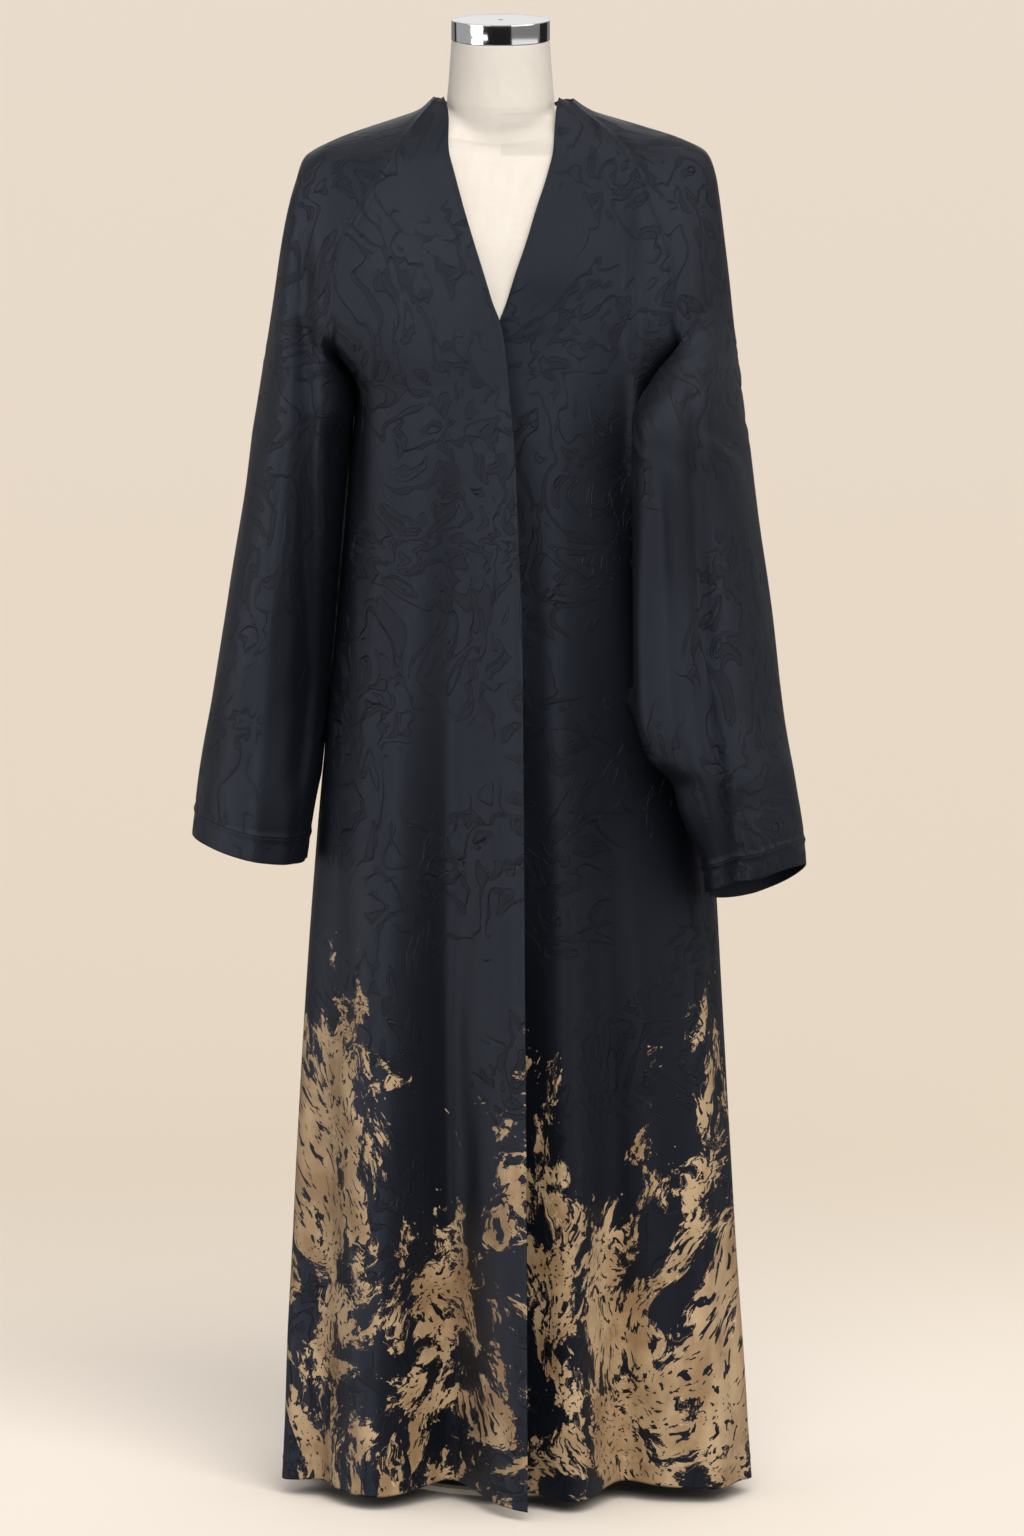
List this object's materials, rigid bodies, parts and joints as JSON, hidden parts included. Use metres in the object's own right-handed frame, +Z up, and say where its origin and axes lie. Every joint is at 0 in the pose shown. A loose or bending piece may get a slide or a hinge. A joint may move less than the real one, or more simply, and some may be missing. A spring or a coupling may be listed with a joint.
{
  "type": "abaya cloak on a dress form",
  "caption": "Long open-front V-neck cloak with raglan sleeves and open cuffs, draped over a limbless dress form with a capped neck on a round-based stand.",
  "frame": {"origin": "on the floor below the middle of the neck, in the plane of the stand's underside", "axes": "+Z up, -Y towards the front of the garment, -X the wearer's right"},
  "size_m": [0.6498, 0.4082, 1.578],
  "materials": {
    "navy_satin": "navy-black jacquard satin with a soft sheen and a gold print towards the hem",
    "linen": "matte natural linen, stretched smooth",
    "chrome": "polished",
    "painted_steel": "matte beige powder coat"
  },
  "bodies": {
    "root": {"front_right": "navy_satin", "front_left": "navy_satin", "back": "navy_satin", "sleeve_right": "navy_satin", "sleeve_left": "navy_satin", "cuff_band_right": "navy_satin", "cuff_band_left": "navy_satin", "form_torso": "linen", "neck_cap": "chrome", "stand_pole": "painted_steel", "stand_base": "painted_steel"}
  },
  "joints": []
}
